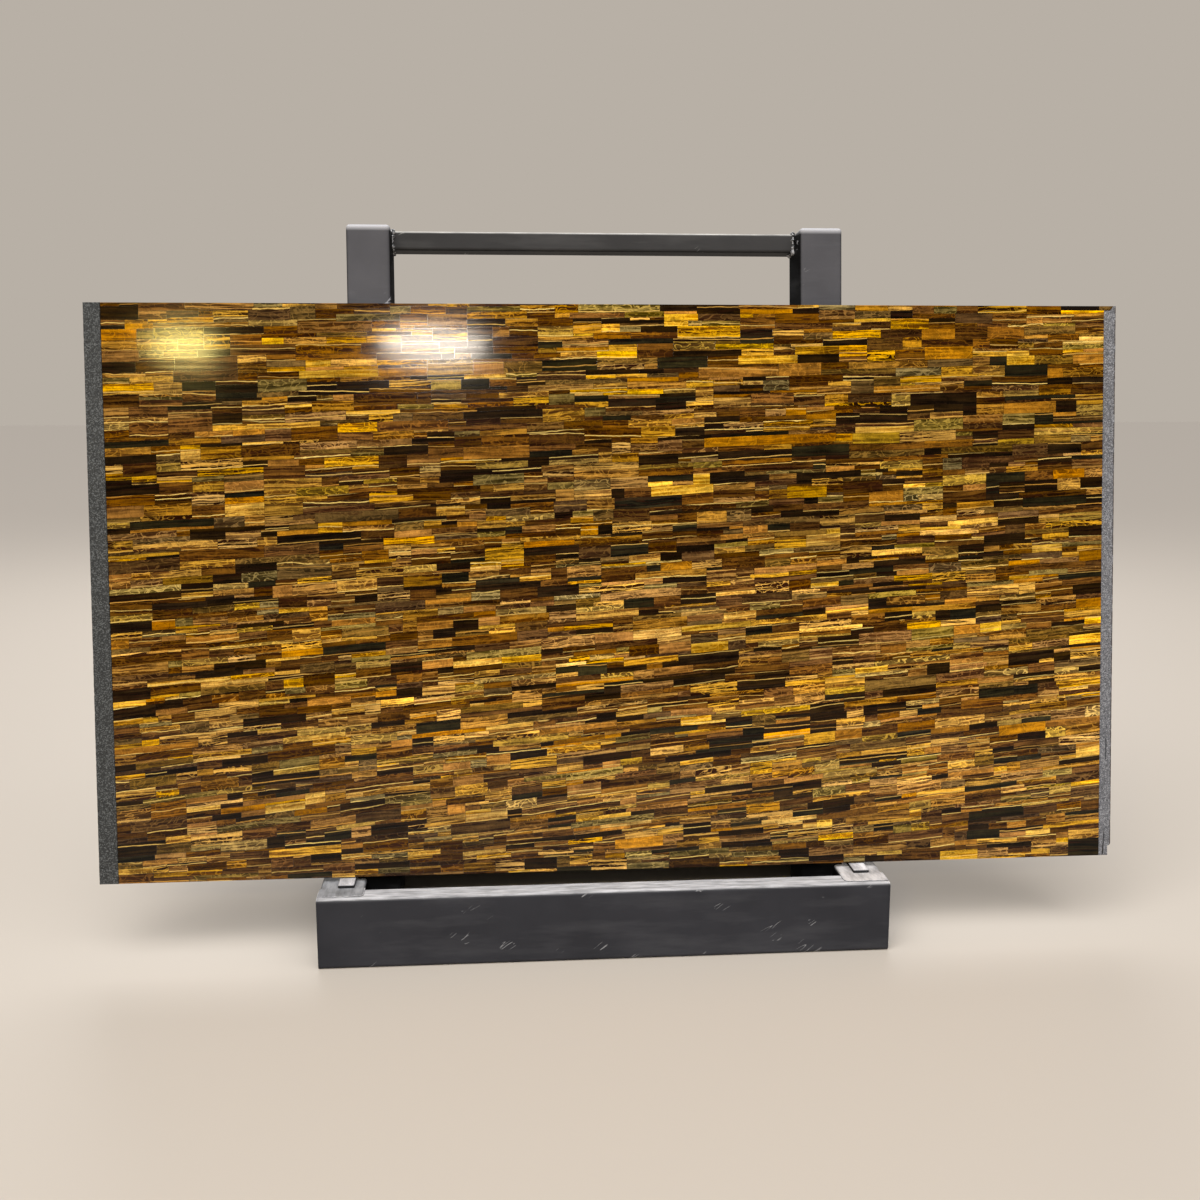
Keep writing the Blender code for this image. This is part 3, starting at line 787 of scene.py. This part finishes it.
def painted_steel(name, paint, worn, top_paleness, scuffs, wiped_along="X", shadowed_below=-1.0, head_at=9.0):
    """Black enamel over steel. The faces that look out to the front and back are painted lighter grey as if lit, and
    the insides, undersides and all below shadowed_below are painted black as shade, the slab's shadow among it. Faces
    that look up are pale, partly rubbed and partly a painted reflection of the light from above, and a painted
    highlight runs along the heads' top edges at head_at."""
    made, add, finish = start_material(name)
    place = add("TexCoord").outputs["Object"]
    cloud = add("TexNoise", {"Vector": place, "Scale": 7.0, "Detail": 5.0})
    cloud_gain = add("MapRange", {0: cloud, 1: 0.3, 2: 0.7, 3: 0.86, 4: 1.16})
    facing = add("NewGeometry")
    normal = add("SeparateXYZ", {0: facing.outputs["Normal"]})
    # painted light and shade: faces looking to the front and back are lit grey, the rest painted near black as shade,
    # and so is everything below shadowed_below, the slab's painted shadow
    outward = add("Math ABSOLUTE", {0: normal.outputs["Y"]})
    lit_face = add("MapRange", {0: outward, 1: 0.35, 2: 0.85}, interpolation_type="SMOOTHSTEP")
    height_up = add("SeparateXYZ", {0: facing.outputs["Position"]}).outputs["Z"]
    unshadowed = add("MapRange", {0: height_up, 1: shadowed_below, 2: shadowed_below + 0.08})
    painted_lit_share = add("Math MULTIPLY", {0: lit_face, 1: unshadowed})
    lit_and_shaded = add("Mix", {0: painted_lit_share, 6: "#0d0d0e", 7: paint}, data_type="RGBA")
    coat = add("VectorMath SCALE", {0: lit_and_shaded.outputs[2], "Scale": cloud_gain})

    # how often each kind of mark repeats in a metre along x, y and z, and its detail. Brush marks lie about 1 mm
    # apart, and are drawn 2.5 mm apart so that they show.
    marks = []
    for repeats, drawn in (
        ((13, 13, 21), {"Detail": 1.0}),  # patches
        ((4, 4, 24), {"Detail": 4.0, "Roughness": 0.6}),  # smears
        ((15, 110, 24) if wiped_along == "X" else (52, 15, 24), {"Detail": 5.0, "Roughness": 0.6}),  # wiped tops
        ((60, 400, 400), {"Detail": 2.0}),  # brush marks
    ):
        at = add("VectorMath MULTIPLY", {0: place, 1: repeats})
        marks.append(add("TexNoise", {"Vector": at, "Scale": 1.0, **drawn}))
    patch, smear, wipe, brush = marks

    # short slanting scratches in patches, more of them near the floor, and faint level smears
    low = add("MapRange", {0: height_up, 1: 0.10, 2: 0.0, 3: 0.0, 4: 0.07})
    patch_up = add("Math ADD", {0: patch, 1: low})
    patches = add("MapRange", {0: patch_up, 1: 0.665, 2: 0.70, 3: 0.0, 4: scuffs})
    slanted = add("VectorRotate", {"Vector": place, "Angle": SCRATCH_SLANT}, rotation_type="Y_AXIS")
    scratch_at = add("VectorMath MULTIPLY_ADD", {0: slanted, 1: SCRATCH_REPEATS, 2: SCRATCH_SHIFT})
    scratch = add("TexNoise", {"Vector": scratch_at, "Scale": 1.0, "Detail": 1.0, "Distortion": 0.2})
    line = add("Math COMPARE", {0: scratch, 1: 0.5, 2: SCRATCH_SHARE})
    scratches = add("Math MULTIPLY", {0: patches, 1: line})
    smear_up = add("Math ADD", {0: smear, 1: low})
    smears = add("MapRange", {0: smear_up, 1: 0.50, 2: 0.80, 3: 0.0, 4: 0.10 * scuffs})
    rubbed = add("Math MAXIMUM", {0: scratches, 1: smears})

    # tops, pale partly where what slides over them has rubbed them and partly as a painted reflection of the light
    # from above, and a painted highlight along the heads' top edges
    upward = add("MapRange", {0: normal.outputs["Z"], 1: 0.35, 2: 0.95}, interpolation_type="SMOOTHSTEP")
    wiped = add("MapRange", {0: wipe, 1: 0.36, 2: 0.64, 3: 0.48 * top_paleness, 4: top_paleness})
    topped = add("Math MULTIPLY", {0: upward, 1: wiped})
    # painted highlight along the top edges of the heads
    painted_head_highlight = add("MapRange", {0: height_up, 1: head_at - 0.014, 2: head_at - 0.003, 3: 0.0, 4: 0.85})
    worn_and_lit_top = add("Math MAXIMUM", {0: topped, 1: painted_head_highlight})
    wear_and_highlight = add("Math MAXIMUM", {0: worn_and_lit_top, 1: rubbed})
    mixed = add("Mix", {0: wear_and_highlight, 6: coat, 7: worn}, data_type="RGBA")

    rough = add("MapRange", {0: wear_and_highlight, 3: 0.48, 4: 0.60})
    height = add("Math MULTIPLY_ADD", {0: wear_and_highlight, 1: -0.8, 2: brush})
    bump = add("Bump", {"Height": height, "Strength": 0.25, "Distance": 0.0004})
    finish({"Base Color": mixed, "Roughness": rough, "Normal": bump, "Specular IOR Level": 0.03})
    return made


def dress(node, material):
    """Gives a CAD node its finish."""
    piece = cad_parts[node]
    piece.data.materials.clear()
    piece.data.materials.append(material)


base_enamel = painted_steel("dark grey enamel on steel", "#333337", "#cccbcd", 1.0, 0.34)
for beam in ("base_front_beam", "base_rear_beam"):
    for node in (beam, beam + "_cap_left", beam + "_cap_right"):
        dress(node, base_enamel)
# the right rail's top is given a paler colour than the left's; part of both tops' paleness is painted reflection of
# the light from above
rail_enamels = {
    "left": painted_steel("grey enamel on steel, top less pale", "#2c2b30", "#a6a6a8", 0.9, 0.40, "Y"),
    "right": painted_steel("grey enamel on steel, top paler", "#2c2b30", "#dcd7d5", 0.95, 0.40, "Y"),
}
for word, enamel in rail_enamels.items():
    dress("base_rail_" + word, enamel)

# Each rail's top runs on over the front beam as a thin plate, welded down and ground nearly flush. Its front edge
# wavers as a ground weld does.
PLATE_FRONT = -0.305
PLATE_BACK = -0.2575
PLATE_TOP = BASE_HEIGHT + 0.0012
PLATE_CORNER = 0.012
PLATE_WAVER = 0.0022
FRONT_STEPS = 12
CORNER_STEPS = 5


def plate_outline(side):
    """The plate's outline from its outer back corner round the front."""
    outer = RACK_X + side * (BASE_WIDTH / 2 - 0.001)
    inner = RACK_X + side * (BASE_WIDTH / 2 - RAIL_WIDTH)
    outline = [(outer, PLATE_BACK)]
    last = inner + side * PLATE_CORNER
    for step in range(FRONT_STEPS + 1):
        across = outer + (last - outer) * step / FRONT_STEPS
        outline.append((across, PLATE_FRONT + PLATE_WAVER * noise.noise(Vector((across * 60, side, 5)))))
    for step in range(1, CORNER_STEPS + 1):
        angle = step / CORNER_STEPS * math.pi / 2
        across = last - side * PLATE_CORNER * math.sin(angle)
        outline.append((across, PLATE_FRONT + PLATE_CORNER * (1 - math.cos(angle))))
    outline.append((inner, PLATE_BACK))
    return outline


def level_plate(outline, bottom, top):
    """A closed flat plate from its outline in (x, y)."""
    area = sum(a[0] * b[1] - b[0] * a[1] for a, b in zip(outline, outline[1:] + outline[:1]))
    if area < 0:
        outline = outline[::-1]
    count = len(outline)
    points = [(x, y, z) for z in (bottom, top) for x, y in outline]
    faces = [tuple(range(count))[::-1], tuple(range(count, 2 * count))]
    for i in range(count):
        j = (i + 1) % count
        faces.append((i, j, j + count, i + count))
    return points, faces


for word, side in (("left", -1), ("right", 1)):
    points, faces = level_plate(plate_outline(side), BASE_HEIGHT - 0.0004, PLATE_TOP)
    add_piece("rail_plate_" + word, points, faces, rail_enamels[word])


# -----
# The rest bars are flat steel bars on the rails. Slabs slide over them, so their paint is rubbed pale and smooth.
# Their tops are also painted brighter against the slab's shadow, and their dark sides are painted shade.

rest_finish = painted_steel("grey paint rubbed smooth, top painted light", "#2a2a2c", "#dad8da", 1.0, 0.3, "Y")
paler_rest_finish = painted_steel("grey paint rubbed smooth, top painted lighter", "#2a2a2c", "#f4f0f1", 1.0, 0.3, "Y")
dress("rest_bar_left", rest_finish)
dress("rest_bar_right", paler_rest_finish)


# -----
# The posts, the top bar and the braces are steel tube too. The posts lean back with the slab, and the top bar between
# their heads and a brace behind each one stiffen them. They are painted grey.

# painted highlight: the posts' top 14 mm are pale, and below 0.30 m their faces keep the slab's painted shadow
post_enamel = painted_steel("mid grey enamel on steel", "#4f4e51", "#c6c5c9", 0.85, 0.50, "X", 0.30, 1.671)
for node in ("post_left", "post_right"):
    dress(node, post_enamel)
# the bar's pale top is partly rubbed paint and partly a painted highlight
bar_enamel = painted_steel("dark warm grey enamel on steel", "#3a3939", "#e2dfda", 1.0, 0.34)
for node in ("top_bar", "brace_left", "brace_right"):
    dress(node, bar_enamel)


# -----
# Weld beads join the rack's pieces. They are laid by hand, rippled and uneven, and painted over with the rest. The
# beads at the top bar are the roughest.

BEAD_STEP = 0.0018
BEAD_SIDES = 8
RIPPLE_PITCH = 0.0046
RIPPLE_SHARE = 0.14
END_SHARE = 0.4
BEAD_SEED = 5

POST_DEPTH = 0.125
POST_FRONT = SLAB_THICKNESS + GAP
POST_BACK = POST_FRONT + POST_DEPTH
POST_OUTER = 0.578
POST_INNER = 0.478
HEAD_UP = 1.5077
TOP_BAR_DEPTH = 0.056
TOP_BAR_HEIGHT = 0.044
TOP_BAR_FRONT = POST_BACK - TOP_BAR_DEPTH
TOP_BAR_UNDER = HEAD_UP - TOP_BAR_HEIGHT
REAR_JOINT_Y = 0.2600

noise.seed_set(BEAD_SEED)


def weld_bead(path, radius, rough, seed):
    """A closed, rippled string of weld metal along a path."""
    corners = [Vector(point) for point in path]
    stations = []
    for a, b in zip(corners, corners[1:]):
        count = max(1, round((b - a).length / BEAD_STEP))
        stations += [a.lerp(b, k / count) for k in range(count)]
    stations.append(corners[-1])
    last = len(stations) - 1
    points, faces = [], []
    for k, place in enumerate(stations):
        along = (stations[min(k + 1, last)] - stations[max(k - 1, 0)]).normalized()
        side = along.cross(Vector((0.31, 0.53, 0.79))).normalized()
        up = along.cross(side)
        ripple = RIPPLE_SHARE * math.sin(k * BEAD_STEP / RIPPLE_PITCH * 2 * math.pi)
        lump = rough * noise.noise(place * 230 + Vector((seed, 0, 0)))
        size = radius * (1 + ripple + 1.6 * lump) * (END_SHARE if k in (0, last) else 1)
        stray = noise.noise_vector(place * 90 + Vector((0, seed, 0))) * radius * rough
        for step in range(BEAD_SIDES):
            angle = step / BEAD_SIDES * 2 * math.pi
            points.append(place + stray + (side * math.cos(angle) + up * math.sin(angle)) * size)
    for k in range(last):
        for i in range(BEAD_SIDES):
            a, b = k * BEAD_SIDES + i, k * BEAD_SIDES + (i + 1) % BEAD_SIDES
            faces.append((a, b, b + BEAD_SIDES, a + BEAD_SIDES))
    faces.append(tuple(range(BEAD_SIDES))[::-1])
    faces.append(tuple(last * BEAD_SIDES + i for i in range(BEAD_SIDES)))
    return points, faces


def add_beads(name, paths, radius, rough, material):
    """Joins the beads along several paths into one piece."""
    points, faces = [], []
    for seed, path in enumerate(paths):
        new_points, new_faces = weld_bead(path, radius, rough, seed * 7.3)
        faces += [[i + len(points) for i in face] for face in new_faces]
        points += new_points
    piece = add_piece(name, points, faces, material)
    piece.data.shade_smooth()
    return piece


def painted_weld():
    """Enamel over weld metal. It holds thinly on the ripples, and bright metal shows in flecks."""
    made, add, finish = start_material("black enamel over rough weld")
    place = add("TexCoord").outputs["Object"]
    flecks = add("TexNoise", {"Vector": place, "Scale": 300.0, "Detail": 2.0})
    bare = add("MapRange", {0: flecks, 1: 0.50, 2: 0.56})
    tone = add("Mix", {0: bare, 6: "#2c2c2e", 7: "#b9b8ba"}, data_type="RGBA")
    rough = add("MapRange", {0: bare, 3: 0.5, 4: 0.35})
    finish({"Base Color": tone, "Roughness": rough})
    return made


def on_post(*places):
    """Lean-frame places (across from the rack's middle, depth, up) to the row frame."""
    return [tuple(point) for point in on_slab([(RACK_X + x, depth, up) for x, depth, up in places])]


plate_beads, joint_beads, post_beads, head_beads = [], [], [], []
for side in (-1, 1):
    edge = plate_outline(side)[1:]
    plate_beads.append([(x, y, BASE_HEIGHT + 0.0003) for x, y in edge])
    rail_in = RACK_X + side * (BASE_WIDTH / 2 - RAIL_WIDTH)
    rail_out = RACK_X + side * (BASE_WIDTH / 2 - 0.003)
    joint_beads.append([(x, REAR_JOINT_Y, BASE_HEIGHT - 0.001) for x in (rail_in, rail_out)])
    joint_beads.append([(rail_in, REAR_JOINT_Y, z) for z in (BASE_HEIGHT - 0.012, 0.012)])
    rail_up = (BASE_HEIGHT - SLAB_FOOT_Z) / math.cos(SLAB_LEAN)
    rail_edge = BASE_WIDTH / 2 - RAIL_WIDTH
    post_beads.append(on_post(
        (side * rail_edge, POST_BACK + 0.001, rail_up + 0.020),
        (side * POST_OUTER, POST_BACK + 0.001, rail_up + 0.020),
        (side * POST_OUTER, POST_FRONT + 0.030, rail_up + 0.006),
    ))
    bar_end = side * (POST_INNER - 0.0012)
    head_beads.append(on_post(
        (bar_end, POST_BACK - 0.006, TOP_BAR_UNDER),
        (bar_end, TOP_BAR_FRONT, TOP_BAR_UNDER + 0.001),
        (bar_end, TOP_BAR_FRONT, HEAD_UP - 0.001),
        (bar_end, POST_BACK - 0.006, HEAD_UP - 0.002),
    ))
weld_paint = painted_weld()
for place, paths, radius, rough, finish, slot in (
    ("plates", plate_beads, 0.0013, 0.35, rest_finish, "worn_steel"),
    ("rear_joints", joint_beads, 0.0025, 0.25, weld_paint, "base_paint"),
    ("posts", post_beads, 0.0030, 0.25, weld_paint, "post_paint"),
    ("top_bar", head_beads, 0.0042, 0.65, weld_paint, "bar_paint"),
):
    add_beads("weld_beads_" + place, paths, radius, rough, finish)


# -----
# Floor, light and camera. The floor is pale and plain. Two softboxes stand high in front and one behind, two small
# lamps glint in the polish, and a wide sun stands for the rest of the daylight. A black card over the open base,
# unseen itself, keeps the studio's light out of it.

FLOOR_REACH = 30
CARD_X = (-0.66, 0.58)
CARD_Y = (0, 0.34)
CARD_UP = 0.2


def stage_sheet(name, x, y, up, finish):
    """A level sheet that isn't part of the object."""
    mesh = bpy.data.meshes.new(name)
    corners = [(x[0], y[0], up), (x[1], y[0], up), (x[1], y[1], up), (x[0], y[1], up)]
    mesh.from_pydata(corners, [], [(0, 1, 2, 3)])
    mesh.materials.append(finish)
    sheet = bpy.data.objects.new(name, mesh)
    bpy.context.collection.objects.link(sheet)
    return sheet


floor_finish, _, finish_floor = start_material("pale smooth floor")
finish_floor({"Base Color": "#c6bcb0", "Roughness": 0.5})
stage_sheet("floor", (-FLOOR_REACH, FLOOR_REACH), (-FLOOR_REACH, FLOOR_REACH), 0, floor_finish)
card_finish, _, finish_card = start_material("black card")
finish_card({"Base Color": "#050505"})
card = stage_sheet("black_card", CARD_X, CARD_Y, CARD_UP, card_finish)
card.visible_camera = False
card.visible_glossy = False


def add_lamp(name, place, target, wide, tall, power, tint="#ffffff", shape="RECTANGLE"):
    """An area light that faces its target and isn't seen itself."""
    light = bpy.data.lights.new(name, "AREA")
    light.shape = shape
    light.size, light.size_y = wide, tall
    light.energy = power
    light.color = colour(tint)[:3]
    lamp = bpy.data.objects.new(name, light)
    lamp.location = place
    lamp.rotation_euler = (Vector(target) - Vector(place)).to_track_quat("-Z", "Y").to_euler()
    lamp.visible_camera = False
    bpy.context.collection.objects.link(lamp)


SLAB_CENTRE = (0, -0.13, 0.84)
LAMP_TALL = 0.20
LAMP_POWER = 58  # for each metre of width
add_lamp("key softbox", (-2.2, -3.4, 5.2), SLAB_CENTRE, 2.6, 2.0, 55)
add_lamp("fill softbox", (2.8, -3.0, 5.4), SLAB_CENTRE, 2.6, 2.0, 48)
add_lamp("rear softbox", (0, 5.0, 4.4), (0, 1.2, 0.3), 6.0, 3.0, 160)
for side, x, wide, tint in (("left", -2.38, 0.42, "#ffe88c"), ("middle", -0.70, 0.72, "#fff2e2")):
    aim = (x * 0.4, 0, 1.4)
    add_lamp(side + " lamp", (x, -6.05, 3.0), aim, wide, LAMP_TALL, LAMP_POWER * wide, tint, "ELLIPSE")

skylight = bpy.data.lights.new("skylight", "SUN")
skylight.energy = 2.5
skylight.angle = math.radians(60)
high_sun = bpy.data.objects.new("skylight", skylight)
high_sun.rotation_euler = Vector((0.16, 0.52, -0.84)).to_track_quat("-Z", "Y").to_euler()
bpy.context.collection.objects.link(high_sun)

# The backdrop is a plain tone behind the object. It lights weakly, and shows still more weakly in the polish.
BACKDROP_LIGHT = 0.42
BACKDROP_MIRRORED = 0.14
world = bpy.data.worlds.new("pale studio")
bpy.context.scene.world = world
world.use_nodes = True
sky = world.node_tree
ray = add_node(sky, "LightPath").outputs
tone = add_node(sky, "Mix", {0: ray["Is Camera Ray"], 6: "#ececef", 7: "#b8b0a6"}, data_type="RGBA")
seen = add_node(sky, "MapRange", {0: ray["Is Camera Ray"], 3: BACKDROP_LIGHT, 4: 1.0})
mirrored = add_node(sky, "MapRange", {0: ray["Is Glossy Ray"], 3: 1.0, 4: BACKDROP_MIRRORED})
level = add_node(sky, "Math MULTIPLY", {0: seen, 1: mirrored})
join(sky, sky.nodes["Background"], {"Color": tone, "Strength": level})

CAMERA_PLACE = (-0.2785, -3.1617, 1.3438)
CAMERA_DOWN = 9.94
CAMERA_TURN = -4.49
camera_data = bpy.data.cameras.new("camera")
camera_data.sensor_width = 36
camera_data.lens = 39.5
camera = bpy.data.objects.new("camera", camera_data)
bpy.context.collection.objects.link(camera)
camera.location = CAMERA_PLACE
camera.rotation_euler = (math.radians(90 - CAMERA_DOWN), 0, math.radians(CAMERA_TURN))
bpy.context.scene.camera = camera
bpy.context.scene.view_settings.view_transform = "Standard"
